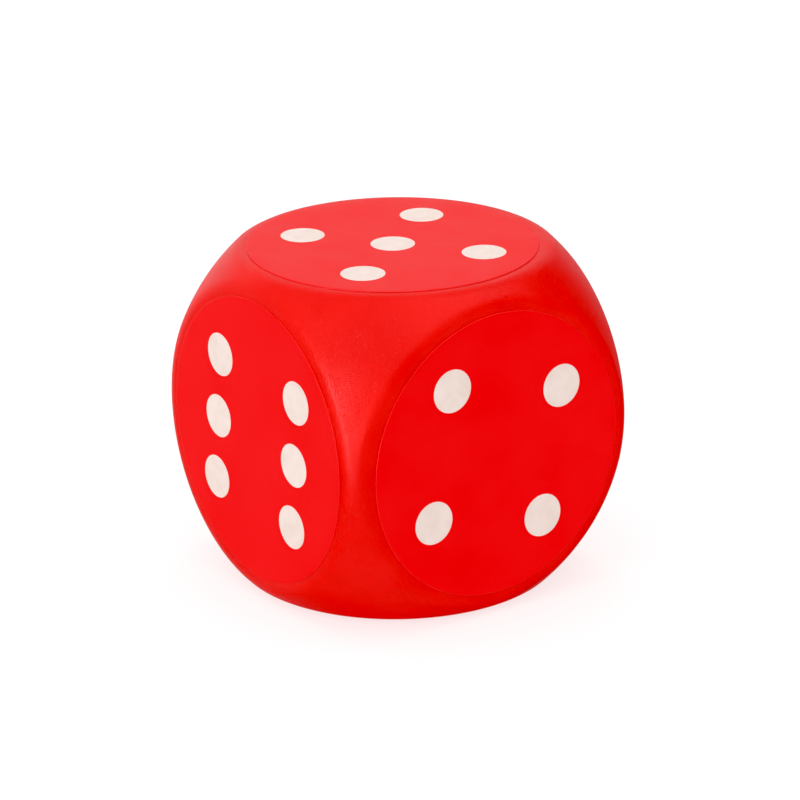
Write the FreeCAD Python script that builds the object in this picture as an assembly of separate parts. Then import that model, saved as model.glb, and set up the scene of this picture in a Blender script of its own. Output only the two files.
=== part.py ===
"""A giant foam dice for lawn games, written as one STEP file for each separate piece.

The dice is a light moulded foam core inside a tough skin. Each of its six flats carries a round
self-adhesive label: an adhesive layer, a disc of red vinyl, and pips of white ink that lie flush in
the vinyl. Opposite faces add up to seven, and one, two and three run anticlockwise about the corner
they share.

Frame: millimetres, +Z up, origin in the middle of the face that the dice stands on.
"""

import FreeCAD, Part
import math
import os

# ---- driving dimensions, in millimetres -----------------------------------------------------------
side = 200.0                 # across two opposite flats of the skin
edge_round = 11.6            # radius of the round between a flat and the domed corners
round_gap = 0.9              # how far apart two neighbouring rounds stay, halfway along an edge
skin_thickness = 1.2         # coating on the foam

label_margin = 1.7           # bare flat left around a label
adhesive_thickness = 0.1
adhesive_setback = 0.6       # how far the adhesive stops short of the label's rim
vinyl_thickness = 0.4
ink_depth = 0.05             # how far the pips' ink is sunk in the vinyl

pip_radius = 13.0
pip_rim_gap = 17.0           # from an outermost pip to the label's rim

# ---- how each label was laid on its flat: turned in its own plane, and a little off centre ---------
# pips: (outward axis of the flat, turn in degrees, shift right, shift up)
faces = {
    1: ((0, 1, 0), 7.0, 0.5, -0.4),
    2: ((0, 0, -1), 21.0, -0.3, 0.6),
    3: ((-1, 0, 0), -6.0, -0.5, 0.3),
    4: ((1, 0, 0), -10.0, 0.9, -0.5),
    5: ((0, 0, 1), 82.0, -0.6, -0.8),
    6: ((0, -1, 0), -95.0, 0.8, 0.5),
}

# ---- sizes that follow ----------------------------------------------------------------------------
half_side = side / 2
flat_radius = half_side - edge_round - round_gap
label_radius = flat_radius - label_margin
label_thickness = adhesive_thickness + vinyl_thickness
pip_pitch = (label_radius - pip_rim_gap - pip_radius) / math.sqrt(2)
centre_height = half_side + label_thickness      # the dice stands on a label, so its centre is this high

# ---- pip positions, in steps of pip_pitch: (right, up) as a label is read ---------------------------
corner_pair = [(-1, 1), (1, -1)]
other_pair = [(-1, -1), (1, 1)]
middle_pip = [(0, 0)]
middle_pair = [(0, 1), (0, -1)]
pip_layouts = {
    1: middle_pip,
    2: corner_pair,
    3: corner_pair + middle_pip,
    4: corner_pair + other_pair,
    5: corner_pair + other_pair + middle_pip,
    6: corner_pair + other_pair + middle_pair,
}


def aimed(shape, outward):
    """Turns a shape made about +Z so that it points along a flat's outward axis, upright as seen there."""
    axis = FreeCAD.Vector(*outward)
    up = FreeCAD.Vector(0, 1, 0) if outward[2] else FreeCAD.Vector(0, 0, 1)
    right = up.cross(axis)
    return shape.transformed(FreeCAD.Matrix(
        right.x, up.x, axis.x, 0,
        right.y, up.y, axis.y, 0,
        right.z, up.z, axis.z, 0,
        0, 0, 0, 1,
    ))


def domed_cube(half, rounding):
    """A ball with a round flat on each of its six sides, and a round between each flat and the ball.

    The flats' circles don't depend on the arguments, so shrinking half and rounding together by the
    same amount gives the surface at that depth all over.
    """
    round_reach = math.hypot(flat_radius, half - rounding)    # from the centre to the round's own centre
    ball_radius = round_reach + rounding
    # the round meets the ball on a circle, the shoulder, straight out from the round's centre
    shoulder_radius = flat_radius * ball_radius / round_reach
    shoulder_height = (half - rounding) * ball_radius / round_reach
    lean = math.atan2(flat_radius, half - rounding) / 2

    shoulder = FreeCAD.Vector(shoulder_radius, 0, shoulder_height)
    midway = FreeCAD.Vector(
        flat_radius + rounding * math.sin(lean), 0, half - rounding + rounding * math.cos(lean)
    )
    rim = FreeCAD.Vector(flat_radius, 0, half)
    top = FreeCAD.Vector(0, 0, half)
    foot = FreeCAD.Vector(0, 0, shoulder_height)
    outline = Part.Wire([
        Part.makeLine(foot, shoulder),
        Part.Arc(shoulder, midway, rim).toShape(),
        Part.makeLine(rim, top),
        Part.makeLine(top, foot),
    ])
    crown = Part.Face(outline).revolve(FreeCAD.Vector(), FreeCAD.Vector(0, 0, 1), 360)

    corner = FreeCAD.Vector(-shoulder_height, -shoulder_height, -shoulder_height)
    cube = Part.makeBox(2 * shoulder_height, 2 * shoulder_height, 2 * shoulder_height, corner)
    ball = Part.makeSphere(ball_radius).common(cube)
    crowns = [aimed(crown, outward) for outward, *_ in faces.values()]
    return ball.fuse(crowns).removeSplitter()


def placed(shape, pips):
    """Lays a shape made about +Z, at the dice's centre, on the flat of the label with that many pips."""
    outward, turn, shift_right, shift_up = faces[pips]
    moved = shape.copy()
    moved.rotate(FreeCAD.Vector(), FreeCAD.Vector(0, 0, 1), turn)
    moved.translate(FreeCAD.Vector(shift_right, shift_up, 0))
    return aimed(moved, outward)


def layer(radius, start, thickness):
    """A disc that starts at a height above the flats."""
    return Part.makeCylinder(radius, thickness, FreeCAD.Vector(0, 0, half_side + start))


def label_pieces(pips):
    """The pieces of one label, from the skin outwards."""
    pip = layer(pip_radius, label_thickness - ink_depth, ink_depth)
    spots = []
    for right, up in pip_layouts[pips]:
        spot = pip.copy()
        spot.translate(FreeCAD.Vector(right * pip_pitch, up * pip_pitch, 0))
        spots.append(spot)
    adhesive = layer(label_radius - adhesive_setback, 0, adhesive_thickness)
    vinyl = layer(label_radius, adhesive_thickness, vinyl_thickness).cut(spots)
    return {
        f"label_{pips}_adhesive": placed(adhesive, pips),
        f"label_{pips}_vinyl": placed(vinyl, pips),
        f"label_{pips}_pips": placed(Part.makeCompound(spots), pips),
    }


def dice():
    """Every piece of the dice, by name, standing on the floor."""
    core = domed_cube(half_side - skin_thickness, edge_round - skin_thickness)
    skin = domed_cube(half_side, edge_round).cut(core)
    pieces = {"foam_core": core, "foam_skin": skin}
    for pips in faces:
        pieces.update(label_pieces(pips))
    for shape in pieces.values():
        shape.translate(FreeCAD.Vector(0, 0, centre_height))
    return pieces


os.makedirs("parts", exist_ok=True)
for name, shape in dice().items():
    assert shape.isValid() and shape.Solids, name
    shape.exportStep(f"parts/{name}.step")
    print(f"{name}: {len(shape.Solids)} solid, {shape.Volume / 1000:.3f} cm3")
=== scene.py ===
"""The looks of a giant foam dice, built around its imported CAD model.

The skin is one closed mesh over the foam, finer than the CAD's and slightly uneven, as a moulding is.
Each label is a thin vinyl sheet, cut and laid by hand, with pips of ink flush in it. The core and the
adhesive keep their CAD shapes. Lengths are in metres: sizes in millimetres are multiplied by MM.
"""

import math
import random

import bmesh
import bpy
from mathutils import Matrix, Vector, noise
from mathutils.geometry import delaunay_2d_cdt


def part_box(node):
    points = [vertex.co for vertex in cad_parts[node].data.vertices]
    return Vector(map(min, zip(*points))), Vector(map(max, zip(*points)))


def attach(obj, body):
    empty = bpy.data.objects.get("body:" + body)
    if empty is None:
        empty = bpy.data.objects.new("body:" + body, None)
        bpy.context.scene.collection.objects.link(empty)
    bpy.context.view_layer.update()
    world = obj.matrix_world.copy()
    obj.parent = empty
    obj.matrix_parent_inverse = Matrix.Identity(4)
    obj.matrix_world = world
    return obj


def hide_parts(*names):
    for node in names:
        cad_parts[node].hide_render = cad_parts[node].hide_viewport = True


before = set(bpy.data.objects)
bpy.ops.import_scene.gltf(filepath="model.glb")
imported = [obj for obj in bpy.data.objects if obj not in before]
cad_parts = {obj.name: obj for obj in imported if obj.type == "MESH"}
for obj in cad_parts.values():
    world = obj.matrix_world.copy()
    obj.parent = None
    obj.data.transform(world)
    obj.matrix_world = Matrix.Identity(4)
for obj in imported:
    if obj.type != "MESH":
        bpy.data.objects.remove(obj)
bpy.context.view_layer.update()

MM = 0.001

# ---- the dice's sizes, from the frame where it gives them ------------------------------------------
skin_low, skin_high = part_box("foam_skin")
centre = (skin_low + skin_high) / 2
half_side = (skin_high.x - skin_low.x) / 2
edge_round = 11.6 * MM       # radius of the round between a flat and the dome
round_gap = 0.9 * MM         # from a round to the middle of the edge between two flats
flat_radius = half_side - edge_round - round_gap
round_reach = math.hypot(flat_radius, half_side - edge_round)
ball_radius = round_reach + edge_round
shoulder_angle = math.atan2(flat_radius, half_side - edge_round)   # where the round meets the dome

pip_radius = 13.0 * MM
pip_rim_gap = 17.0 * MM
ink_depth = 0.05 * MM

# pips: (outward axis of the flat, how far the label is turned in its plane, in degrees)
labels = {
    1: ((0, 1, 0), 7.0),
    2: ((0, 0, -1), 21.0),
    3: ((-1, 0, 0), -6.0),
    4: ((1, 0, 0), -10.0),
    5: ((0, 0, 1), 82.0),
    6: ((0, -1, 0), -95.0),
}

# pip places in steps of the pip pitch, (right, up) as a label is read
corner_pair = [(-1, 1), (1, -1)]
other_pair = [(-1, -1), (1, 1)]
middle_pip = [(0, 0)]
middle_pair = [(0, 1), (0, -1)]
pip_layouts = {
    1: middle_pip,
    2: corner_pair,
    3: corner_pair + middle_pip,
    4: corner_pair + other_pair,
    5: corner_pair + other_pair + middle_pip,
    6: corner_pair + other_pair + middle_pair,
}


# ---- helpers ---------------------------------------------------------------------------------------
def linear(hex_colour):
    """An sRGB hex colour as linear red, green, blue and alpha."""
    channels = [int(hex_colour[i:i + 2], 16) / 255 for i in (1, 3, 5)]
    return [c / 12.92 if c <= 0.04045 else ((c + 0.055) / 1.055) ** 2.4 for c in channels] + [1.0]


def smoothstep(value, start, end):
    share = min(max((value - start) / (end - start), 0), 1)
    return share * share * (3 - 2 * share)


def turned_to(outward):
    """The rotation that takes +Z to a flat's outward axis, upright as seen there."""
    axis = Vector(outward)
    up = Vector((0, 1, 0)) if outward[2] else Vector((0, 0, 1))
    right = up.cross(axis)
    return Matrix((right, up, axis)).transposed()


def piece(name, mesh_builder, material, replaced):
    """Makes an object of a finished bmesh, and ties it to the frame."""
    sharp_from = math.radians(40)
    mesh = bpy.data.meshes.new(name)
    mesh_builder.to_mesh(mesh)
    mesh_builder.free()
    mesh.shade_smooth()
    mesh.set_sharp_from_angle(angle=sharp_from)
    mesh.materials.append(material)
    made = bpy.data.objects.new(name, mesh)
    bpy.context.scene.collection.objects.link(made)
    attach(made, "root")
    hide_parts(replaced)
    return made


def add(tree, kind, settings=None, links=None):
    """Adds a node, sets its properties and sockets by name, and links other nodes' outputs into it."""
    node = tree.nodes.new(kind)
    for name, value in (settings or {}).items():
        if isinstance(name, int) or name in node.inputs:
            node.inputs[name].default_value = value
        else:
            setattr(node, name, value)
    for name, output in (links or {}).items():
        tree.links.new(output, node.inputs[name])
    return node


def new_material(name, settings):
    """A material with one Principled shader, its tree, the shader and object coordinates in metres."""
    material = bpy.data.materials.new(name)
    material.use_nodes = True
    tree = material.node_tree
    shader = tree.nodes["Principled BSDF"]
    for socket, value in settings.items():
        shader.inputs[socket].default_value = value
    place = add(tree, "ShaderNodeTexCoord").outputs["Object"]
    return material, tree, shader, place


# ---- materials -------------------------------------------------------------------------------------
def moulded_skin():
    """Integral-skin polyurethane foam: a satin pigmented skin, with a fine pitted grain from its mould."""
    grain = 0.8 * MM
    grain_patches = 35 * MM
    orange_peel = 7 * MM
    scratch_cell = 24 * MM
    scratch_width = 0.16 * MM
    handled_areas = 15 * MM
    speck_cell = 11 * MM
    speck_radius = 0.45 * MM
    mottle = 45 * MM
    material, tree, shader, place = new_material("integral_skin_polyurethane", {
        "IOR": 1.5,
        "Specular IOR Level": 0.3,
    })
    surface = {}
    # broken patterns: (size, octaves)
    noises = {
        "fine_grain": (grain, 2.0),
        "grain_patches": (grain_patches, 1.0),
        "orange_peel": (orange_peel, 2.0),
        "handling": (handled_areas, 3.0),
        "mottle": (mottle, 4.0),
    }
    for name, (size, octaves) in noises.items():
        settings = {"Scale": 1 / size, "Detail": octaves}
        pattern = add(tree, "ShaderNodeTexNoise", settings, {"Vector": place})
        surface[name] = pattern.outputs["Fac"]
    # celled patterns: (size, what is measured in a cell)
    cells = {
        "from_pit": (grain, "F1"),
        "from_line": (scratch_cell, "DISTANCE_TO_EDGE"),
        "from_grit": (speck_cell, "F1"),
    }
    for name, (size, measure) in cells.items():
        settings = {"feature": measure, "Scale": 1 / size}
        pattern = add(tree, "ShaderNodeTexVoronoi", settings, {"Vector": place})
        surface[name] = pattern.outputs["Distance"]
    # smooth steps of a pattern: (pattern, start, end, value at the start, value at the end)
    steps = {
        "round_pits": ("from_pit", 0.1, 0.5, 0.0, 1.0),
        "bolder_grain": ("grain_patches", 0.35, 0.65, 0.7, 1.2),
        "scratches": ("from_line", 0.0, scratch_width / scratch_cell, 1.0, 0.0),
        "scratched_areas": ("handling", 0.52, 0.6, 0.0, 1.0),
        "specks": ("from_grit", 0.0, speck_radius / speck_cell, 1.0, 0.0),
        "gritty_areas": ("mottle", 0.55, 0.63, 0.0, 1.0),
        "polish": ("mottle", 0.3, 0.7, 0.31, 0.4),
    }
    for name, (pattern, start, end, low, high) in steps.items():
        stepped = add(tree, "ShaderNodeMapRange", {
            "interpolation_type": "SMOOTHSTEP",
            "From Min": start,
            "From Max": end,
            "To Min": low,
            "To Max": high,
        }, {"Value": surface[pattern]})
        surface[name] = stepped.outputs["Result"]
    # the relief, one layer on another: (height, pattern, where it shows)
    relief = [
        (0.09 * MM, "round_pits", "bolder_grain"),
        (0.14 * MM, "fine_grain", "bolder_grain"),
        (0.11 * MM, "orange_peel", "bolder_grain"),
        (-0.06 * MM, "scratches", "scratched_areas"),
        (0.1 * MM, "specks", "gritty_areas"),
    ]
    below = {}
    for height, pattern, where in relief:
        shown = add(tree, "ShaderNodeMath", {"operation": "MULTIPLY"},
                    {0: surface[pattern], 1: surface[where]})
        layer = add(tree, "ShaderNodeMath", {"operation": "MULTIPLY_ADD", 1: height},
                    {0: shown.outputs["Value"], **below})
        below = {2: layer.outputs["Value"]}
    bump = add(tree, "ShaderNodeBump", {"Strength": 1.0, "Distance": 1.0}, {"Height": layer.outputs["Value"]})
    tree.links.new(bump.outputs["Normal"], shader.inputs["Normal"])
    # the pigment is a little uneven through the skin
    pigment = add(tree, "ShaderNodeValToRGB", links={"Fac": surface["mottle"]})
    pigment.color_ramp.elements[0].position = 0.35
    pigment.color_ramp.elements[0].color = linear("#E70901")
    pigment.color_ramp.elements[1].position = 0.65
    pigment.color_ramp.elements[1].color = linear("#ED0D02")
    tree.links.new(pigment.outputs["Color"], shader.inputs["Base Color"])
    # handling polishes it unevenly
    tree.links.new(surface["polish"], shader.inputs["Roughness"])
    return material


def red_vinyl():
    """Calendered PVC film with a satin face: a cleaner, cooler red than the skin, and smoother."""
    telegraph = 5 * MM
    telegraph_depth = 0.03 * MM
    haze = 30 * MM
    material, tree, shader, place = new_material("calendered_pvc_film", {
        "IOR": 1.53,
        "Specular IOR Level": 0.25,
    })
    # the foam's texture shows faintly through the film
    foam_below = add(tree, "ShaderNodeTexNoise", {"Scale": 1 / telegraph, "Detail": 3.0}, {"Vector": place})
    bump = add(tree, "ShaderNodeBump", {"Strength": 1.0, "Distance": telegraph_depth},
               {"Height": foam_below.outputs["Fac"]})
    tree.links.new(bump.outputs["Normal"], shader.inputs["Normal"])
    wiped = add(tree, "ShaderNodeTexNoise", {"Scale": 1 / haze, "Detail": 5.0}, {"Vector": place})
    pigment = add(tree, "ShaderNodeValToRGB", links={"Fac": wiped.outputs["Fac"]})
    pigment.color_ramp.elements[0].position = 0.3
    pigment.color_ramp.elements[0].color = linear("#EF0004")
    pigment.color_ramp.elements[1].position = 0.7
    pigment.color_ramp.elements[1].color = linear("#F10307")
    # painted highlight: the cut edge and its rolled rim are painted a paler red, standing in for the glint
    # along the label's rim
    cut = add(tree, "ShaderNodeAttribute", {"attribute_name": "painted_rim_highlight"})
    colour = add(tree, "ShaderNodeMixRGB", {"Color2": linear("#F22A29")},
                 {"Fac": cut.outputs["Fac"], "Color1": pigment.outputs["Color"]})
    tree.links.new(colour.outputs["Color"], shader.inputs["Base Color"])
    polish = add(tree, "ShaderNodeMapRange",
                 {"From Min": 0.3, "From Max": 0.7, "To Min": 0.36, "To Max": 0.44},
                 {"Value": wiped.outputs["Fac"]})
    tree.links.new(polish.outputs["Result"], shader.inputs["Roughness"])
    return material


def pip_ink():
    """Screen-printed vinyl ink, warm white and chalky, not quite even over the red."""
    cloud = 8 * MM
    mesh_mark = 0.9 * MM
    mesh_mark_depth = 0.02 * MM
    material, tree, shader, place = new_material("screen_printing_ink", {"IOR": 1.48, "Roughness": 0.5})
    cover = add(tree, "ShaderNodeTexNoise", {"Scale": 1 / cloud, "Detail": 4.0}, {"Vector": place})
    shade = add(tree, "ShaderNodeValToRGB", links={"Fac": cover.outputs["Fac"]})
    shade.color_ramp.elements[0].position = 0.3
    shade.color_ramp.elements[0].color = linear("#E9D5CB")
    shade.color_ramp.elements[1].position = 0.7
    shade.color_ramp.elements[1].color = linear("#F1E0D8")
    tree.links.new(shade.outputs["Color"], shader.inputs["Base Color"])
    screen = add(tree, "ShaderNodeTexNoise", {"Scale": 1 / mesh_mark, "Detail": 2.0}, {"Vector": place})
    bump = add(tree, "ShaderNodeBump", {"Strength": 1.0, "Distance": mesh_mark_depth},
               {"Height": screen.outputs["Fac"]})
    tree.links.new(bump.outputs["Normal"], shader.inputs["Normal"])
    return material


def adhesive():
    """Clear acrylic adhesive painted a dull dark red, darker than the skin under it: painted shade for the
    shadow line under a label's rim.
    """
    smudge = 3 * MM
    material, tree, shader, place = new_material("acrylic_adhesive_painted_shade", {"IOR": 1.47, "Roughness": 0.6})
    shade_smudge = add(tree, "ShaderNodeTexNoise", {"Scale": 1 / smudge, "Detail": 3.0}, {"Vector": place})
    shade = add(tree, "ShaderNodeValToRGB", links={"Fac": shade_smudge.outputs["Fac"]})
    # painted shade: two dark reds, well below the skin's red, darken the gap under the rim; the smudge noise
    # varies them at random
    shade.color_ramp.elements[0].color = linear("#6E0F0A")
    shade.color_ramp.elements[1].color = linear("#A81B12")
    tree.links.new(shade.outputs["Color"], shader.inputs["Base Color"])
    return material


def core_foam():
    """Flexible polyurethane foam, unpigmented: cream, open-celled and matt. The skin closes it in."""
    cell = 0.8 * MM
    cell_depth = 0.3 * MM
    material, tree, shader, place = new_material("flexible_polyurethane_foam", {"Roughness": 0.95})
    cells = add(tree, "ShaderNodeTexVoronoi", {"Scale": 1 / cell}, {"Vector": place})
    shade = add(tree, "ShaderNodeValToRGB", links={"Fac": cells.outputs["Distance"]})
    shade.color_ramp.elements[0].color = linear("#C9BC9B")
    shade.color_ramp.elements[1].color = linear("#EFE6CF")
    tree.links.new(shade.outputs["Color"], shader.inputs["Base Color"])
    bump = add(tree, "ShaderNodeBump", {"Strength": 1.0, "Distance": cell_depth},
               {"Height": cells.outputs["Distance"]})
    tree.links.new(bump.outputs["Normal"], shader.inputs["Normal"])
    return material


# ---- the skin --------------------------------------------------------------------------------------
skin_columns = 384           # around each flat, a multiple of 8 so that a column runs to each corner
flat_rings_mm = [20, 45, 65, 77, 82, 84.5, 86]   # radii of the rings on a flat
round_steps = 14
dome_steps = 18
weld = 0.001 * MM
# the skin's unevenness starts and is whole at these depths below a flat's plane
uneven_from = 0.2 * MM
uneven_whole = 3 * MM
slow_wave = 38 * MM
slow_height = 0.16 * MM
quick_wave = 11 * MM
quick_height = 0.035 * MM


def skin_meridian(border_angle):
    """(radius, height) of the skin's rings on one column, from a flat to its border with the next."""
    points = [(radius * MM, half_side) for radius in flat_rings_mm]
    for step in range(round_steps + 1):
        lean = shoulder_angle * step / round_steps
        points.append((
            flat_radius + edge_round * math.sin(lean),
            half_side - edge_round + edge_round * math.cos(lean),
        ))
    for step in range(1, dome_steps + 1):
        angle = shoulder_angle + (border_angle - shoulder_angle) * step / dome_steps
        points.append((ball_radius * math.sin(angle), ball_radius * math.cos(angle)))
    return points


def skin_unevenness(point):
    """How far the skin stands out at a point about the dice's centre: nothing on the flats."""
    reach = max(abs(c) for c in point)
    off_flat = smoothstep(half_side - reach, uneven_from, uneven_whole)
    slow = noise.noise(point / slow_wave) * slow_height
    quick = noise.noise(point / quick_wave) * quick_height
    return off_flat * (slow + quick)


def build_skin(material):
    body = bmesh.new()
    for outward, _turn in labels.values():
        turn_out = turned_to(outward)
        middle = body.verts.new(turn_out @ Vector((0, 0, half_side)))
        columns = []
        for column in range(skin_columns):
            around = 2 * math.pi * column / skin_columns
            # the border lies where the outward coordinate equals the larger of the other two
            border_angle = math.atan(1 / max(abs(math.cos(around)), abs(math.sin(around))))
            way = Vector((math.cos(around), math.sin(around), 0))
            columns.append([
                body.verts.new(turn_out @ (way * radius + Vector((0, 0, height))))
                for radius, height in skin_meridian(border_angle)
            ])
        for here, after in zip(columns, columns[1:] + columns[:1]):
            body.faces.new((middle, here[0], after[0]))
            for ring in range(len(here) - 1):
                body.faces.new((here[ring], here[ring + 1], after[ring + 1], after[ring]))
    bmesh.ops.remove_doubles(body, verts=body.verts, dist=weld)
    body.normal_update()
    moves = [vertex.normal * skin_unevenness(vertex.co) for vertex in body.verts]
    for vertex, move in zip(body.verts, moves):
        vertex.co += move + centre
    return piece("moulded_skin", body, material, "foam_skin")


# ---- the labels ------------------------------------------------------------------------------------
outline_points = 512
pip_points = 96
grid_step = 5 * MM
grid_rim_gap = 4 * MM        # between the grid and the sheet's outline
grid_pip_gap = 1.2 * MM      # between the grid and a pip's outline
pressed_margin = 1.5 * MM    # pressed down firmly along the rim
pressed_depth = 0.05 * MM
air_wave = 24 * MM
air_height = 0.06 * MM
lift_reach = 7 * MM          # how far in from the rim a lifted place starts
lift_spread = 0.07           # half-width of a lifted place, in radians around the rim
lift_count = 3
# the cutter rolled the film's upper edge over
rim_roll_width = 0.34 * MM
rim_roll_height = 0.36 * MM
rim_steps = 4


def ring(radius, count, middle=(0, 0)):
    """Points on a circle."""
    return [
        Vector((
            middle[0] + radius * math.cos(2 * math.pi * i / count),
            middle[1] + radius * math.sin(2 * math.pi * i / count),
        ))
        for i in range(count)
    ]


class Label:
    """One label's sizes and small faults, in its own frame: +Z out of the flat, from the dice's centre."""

    def __init__(self, pips):
        outward, turn = labels[pips]
        low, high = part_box(f"label_{pips}_vinyl")
        towards = Vector(outward)
        off_centre = (low + high) / 2 - centre
        off_centre -= towards * off_centre.dot(towards)
        self.pips = pips
        self.underneath = outward[2] < 0
        self.placement = (
            Matrix.Translation(centre + off_centre)
            @ turned_to(outward).to_4x4()
            @ Matrix.Rotation(math.radians(turn), 4, "Z")
        )
        spans = sorted(high - low)
        self.radius = spans[2] / 2
        self.thickness = spans[0]
        self.face = max(abs((corner - centre).dot(towards)) for corner in (low, high))
        pitch = (self.radius - pip_rim_gap - pip_radius) / math.sqrt(2)
        self.middles = [(right * pitch, up * pitch) for right, up in pip_layouts[pips]]
        draw = random.Random(pips)
        self.noise_place = Vector((draw.uniform(0, 90), draw.uniform(0, 90), draw.uniform(0, 90)))
        self.lifts = [(draw.uniform(0, 2 * math.pi), draw.uniform(0.1, 0.28) * MM) for _ in range(lift_count)]

    def lift(self, point):
        """How far the sheet stands off its flat: air under it, and a few places where its rim has come up.

        The label that the dice stands on is pressed flat. The others are pressed down along their rims.
        """
        if self.underneath:
            return 0
        air = 0.5 + 0.5 * noise.noise(Vector((point.x, point.y, 0)) / air_wave + self.noise_place)
        pressed = smoothstep(point.length, self.radius - pressed_margin, self.radius)
        height = air_height * air - pressed_depth * pressed
        near_rim = smoothstep(point.length, self.radius - lift_reach, self.radius)
        around = math.atan2(point.y, point.x)
        for place, rise in self.lifts:
            away = math.remainder(around - place, 2 * math.pi)
            height += rise * near_rim * math.exp(-(away / lift_spread) ** 2)
        return height


def build_vinyl(label, material):
    """A sheet with a rounded upper rim and a shallow pocket for each pip."""
    outline = ring(label.radius, outline_points)
    pockets = [ring(pip_radius, pip_points, middle) for middle in label.middles]
    points = list(outline)
    edges = [(i, (i + 1) % outline_points) for i in range(outline_points)]
    for pocket in pockets:
        first = len(points)
        points += pocket
        edges += [(first + i, first + (i + 1) % pip_points) for i in range(pip_points)]
    # inner points on a staggered grid, clear of the outlines, so that the sheet can undulate
    points += ring(label.radius - pressed_margin, outline_points // 2)
    reach = math.ceil(label.radius / grid_step)
    for row in range(-reach, reach + 1):
        for column in range(-reach, reach + 1):
            spot = Vector(((column + row % 2 / 2) * grid_step, row * grid_step * math.sqrt(3) / 2))
            gaps = [abs((spot - Vector(middle)).length - pip_radius) for middle in label.middles]
            if spot.length < label.radius - grid_rim_gap and min(gaps) > grid_pip_gap:
                points.append(spot)
    flat_points, _, triangles, *_ = delaunay_2d_cdt(points, edges, [], 1, 1e-9)

    body = bmesh.new()
    painted_rim_highlight = body.verts.layers.float.new("painted_rim_highlight")
    made = {}

    def vertex(index, level):
        if (index, level) not in made:
            spot = flat_points[index]
            height = label.face + {"under": -label.thickness, "sunk": -ink_depth, "top": 0}[level]
            inset = 1 - rim_roll_width / label.radius if level == "top" and index < outline_points else 1
            made[index, level] = body.verts.new((spot.x * inset, spot.y * inset, height + label.lift(spot)))
        return made[index, level]

    def rounded_rim(step):
        """The ring of vertices a few steps up the rim's round, from the cut edge to the top."""
        if step == rim_steps:
            return [vertex(i, "top") for i in range(outline_points)]
        lean = math.pi / 2 * step / rim_steps
        inset = 1 - rim_roll_width * (1 - math.cos(lean)) / label.radius
        height = label.face - rim_roll_height * (1 - math.sin(lean))
        return [
            body.verts.new((spot.x * inset, spot.y * inset, height + label.lift(spot)))
            for spot in flat_points[:outline_points]
        ]

    for triangle in triangles:
        middle = sum((flat_points[i] for i in triangle), Vector((0, 0))) / 3
        in_pip = any((middle - Vector(pip)).length < pip_radius for pip in label.middles)
        body.faces.new([vertex(i, "sunk" if in_pip else "top") for i in triangle])
        body.faces.new([vertex(i, "under") for i in reversed(triangle)])
    # the cut edge: straight up, then rounded over onto the top
    below = [vertex(i, "under") for i in range(outline_points)]
    for step in range(rim_steps + 1):
        # painted highlight: the cut edge and all but the top step of its round are marked to be painted paler
        for rim_vertex in below:
            rim_vertex[painted_rim_highlight] = 1.0
        above = rounded_rim(step)
        for i in range(outline_points):
            after = (i + 1) % outline_points
            body.faces.new((below[i], below[after], above[after], above[i]))
        below = above
    for start, end in edges[outline_points:]:
        body.faces.new((vertex(start, "sunk"), vertex(end, "sunk"), vertex(end, "top"), vertex(start, "top")))
    bmesh.ops.recalc_face_normals(body, faces=body.faces)
    body.transform(label.placement)
    name = f"label_{label.pips}_vinyl"
    return piece(f"{name}_sheet", body, material, name)


def build_pips(label, material):
    """A thin disc of ink in each pocket, its rim drawn down a little."""
    # (share of the pip's radius, how far the ink is drawn down there)
    rings = [(1.0, 0.012 * MM), (0.99, 0.004 * MM)] + [(share, 0) for share in (0.97, 0.85, 0.7, 0.5, 0.3)]
    body = bmesh.new()
    for middle in label.middles:
        def vertex(spot, drop):
            return body.verts.new((spot.x, spot.y, label.face + label.lift(spot) - drop))

        under = [vertex(spot, ink_depth) for spot in ring(pip_radius, pip_points, middle)]
        body.faces.new(list(reversed(under)))
        last = under
        for share, drop in rings:
            this = [vertex(spot, drop) for spot in ring(pip_radius * share, pip_points, middle)]
            for i in range(pip_points):
                after = (i + 1) % pip_points
                body.faces.new((last[i], last[after], this[after], this[i]))
            last = this
        crown = vertex(Vector(middle), 0)
        for i in range(pip_points):
            body.faces.new((last[i], last[(i + 1) % pip_points], crown))
    bmesh.ops.recalc_face_normals(body, faces=body.faces)
    body.transform(label.placement)
    name = f"label_{label.pips}_pips"
    return piece(f"{name}_ink", body, material, name)


# ---- put the dice together -------------------------------------------------------------------------
skin = build_skin(moulded_skin())
vinyl = red_vinyl()
ink = pip_ink()
for pips in labels:
    label = Label(pips)
    build_vinyl(label, vinyl)
    build_pips(label, ink)

# the adhesive under each label takes the painted shade of the gap under its rim
glue = adhesive()
for name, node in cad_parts.items():
    if name.endswith("_adhesive"):
        node.data.materials.clear()
        node.data.materials.append(glue)
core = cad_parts["foam_core"]
core.data.materials.clear()
core.data.materials.append(core_foam())


# ---- the studio ------------------------------------------------------------------------------------
def build_floor():
    """A wide sweep of matt white paper."""
    floor_radius = 30
    bpy.ops.mesh.primitive_circle_add(vertices=96, radius=floor_radius, fill_type="NGON")
    floor = bpy.context.object
    floor.name = "studio_floor"
    material, *_ = new_material("matt_paper", {
        "Base Color": linear("#989898"),
        "Roughness": 1.0,
        "Specular IOR Level": 0.0,
        "Emission Color": linear("#FFFFFF"),
        "Emission Strength": 0.72,
    })
    floor.data.materials.append(material)
    floor.visible_glossy = False


# the even matt light: (degrees clockwise from +Y seen from above, degrees up, degrees from its axis to
# where it is strongest and weakest, weakest strength, strongest strength)
even_light = (200, 65, 10, 120, 0.62, 1.32)

# where the studio's lights are mirrored: (degrees clockwise from +Y seen from above, degrees up,
# half-width of the even middle, half-width out to nothing, both in degrees, and strength)
mirrored_lights = {
    "front_left_strip": (167, 8, 7, 24, 13.5),
    "front_sheet": (150, 35, 15, 50, 0.5),
    "back_right_box": (55, 56, 12, 38, 2.0),
    "back_left_sheet": (-75, 6, 15, 62, 0.72),
    "ceiling": (60, 80, 15, 60, 0.25),
    "paper_in_front": (135, -50, 20, 60, 0.3),
}


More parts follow.
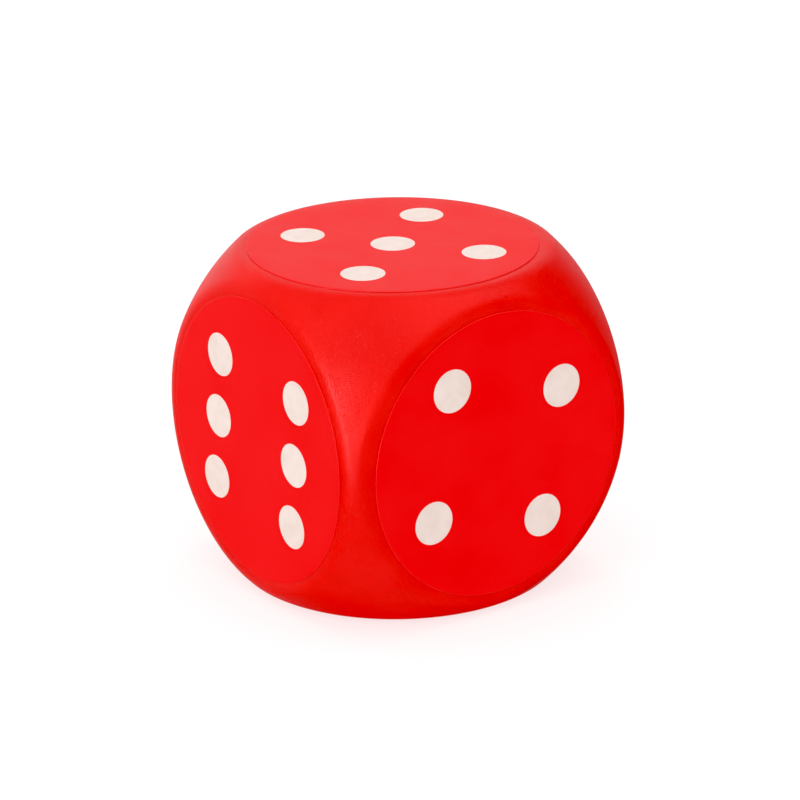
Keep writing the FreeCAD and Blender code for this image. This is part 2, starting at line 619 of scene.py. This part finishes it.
def compass(azimuth, elevation):
    """The direction at an azimuth, clockwise from +Y seen from above, and an elevation, in degrees."""
    azimuth = math.radians(azimuth)
    elevation = math.radians(elevation)
    return Vector((
        math.sin(azimuth) * math.cos(elevation),
        math.cos(azimuth) * math.cos(elevation),
        math.sin(elevation),
    ))


def build_world():
    """Even white light for matt surfaces, strongest from above, and a few soft lights for gloss to mirror."""
    world = bpy.data.worlds.new("studio")
    world.use_nodes = True
    # light found by following rays only, so that gloss and matt can see different strengths
    world.cycles.sampling_method = "NONE"
    bpy.context.scene.world = world
    tree = world.node_tree
    tree.nodes.clear()
    way = add(tree, "ShaderNodeTexCoord").outputs["Generated"]

    def lobe(axis, middle, edge, low, high):
        """A strength that falls smoothly from high, middle degrees off an axis, to low, at edge degrees."""
        towards = add(tree, "ShaderNodeVectorMath", {"operation": "DOT_PRODUCT", 1: axis}, {0: way})
        return add(tree, "ShaderNodeMapRange", {
            "interpolation_type": "SMOOTHSTEP",
            "From Min": math.cos(math.radians(edge)),
            "From Max": math.cos(math.radians(middle)),
            "To Min": low,
            "To Max": high,
        }, {"Value": towards.outputs["Value"]}).outputs["Result"]

    azimuth, elevation, middle, edge, weakest, strongest = even_light
    even = lobe(compass(azimuth, elevation), middle, edge, weakest, strongest)
    shine = None
    for azimuth, elevation, middle, edge, strength in mirrored_lights.values():
        light = lobe(compass(azimuth, elevation), middle, edge, 0.0, strength)
        if shine:
            light = add(tree, "ShaderNodeMath", {"operation": "ADD"}, {0: shine, 1: light}).outputs["Value"]
        shine = light
    matt = add(tree, "ShaderNodeBackground", {"Color": linear("#FFFFFF")}, {"Strength": even})
    mirrored = add(tree, "ShaderNodeBackground", {"Color": linear("#FFFFFF")}, {"Strength": shine})
    # beyond the paper floor the camera sees white paper too
    paper = add(tree, "ShaderNodeBackground", {"Color": linear("#FFFFFF"), "Strength": 1.0})
    ray = add(tree, "ShaderNodeLightPath")
    lit = add(tree, "ShaderNodeMixShader", links={
        0: ray.outputs["Is Glossy Ray"], 1: matt.outputs["Background"], 2: mirrored.outputs["Background"],
    })
    shown = add(tree, "ShaderNodeMixShader", links={
        0: ray.outputs["Is Camera Ray"], 1: lit.outputs["Shader"], 2: paper.outputs["Background"],
    })
    add(tree, "ShaderNodeOutputWorld", links={"Surface": shown.outputs["Shader"]})


def build_camera():
    """A long lens, level with the near corner's middle, a little above the dice."""
    azimuth = math.radians(55.11)
    elevation = math.radians(20.69)
    distance = 2.655
    aim_right = 2.18 * MM
    aim_up = 2.44 * MM
    roll = math.radians(-0.674)
    out = Vector((
        math.sin(azimuth) * math.cos(elevation),
        -math.cos(azimuth) * math.cos(elevation),
        math.sin(elevation),
    ))
    straight = out.to_track_quat("Z", "Y").to_matrix()
    target = centre + straight @ Vector((aim_right, aim_up, 0))
    place = centre + out * distance
    facing = (place - target).to_track_quat("Z", "Y").to_matrix().to_4x4()
    data = bpy.data.cameras.new("camera")
    data.sensor_width = 36
    data.lens = 201.4
    data.clip_end = 200          # past the far edge of the floor
    camera = bpy.data.objects.new("camera", data)
    camera.matrix_world = Matrix.Translation(place) @ facing @ Matrix.Rotation(roll, 4, "Z")
    bpy.context.scene.collection.objects.link(camera)
    bpy.context.scene.camera = camera


build_floor()
build_world()
build_camera()
view = bpy.context.scene.view_settings
view.view_transform = "Standard"
# the black point is lifted a little, which clears the reds of veiling glare
view.use_curve_mapping = True
view.curve_mapping.black_level = (0.018, 0.018, 0.018)
view.curve_mapping.update()
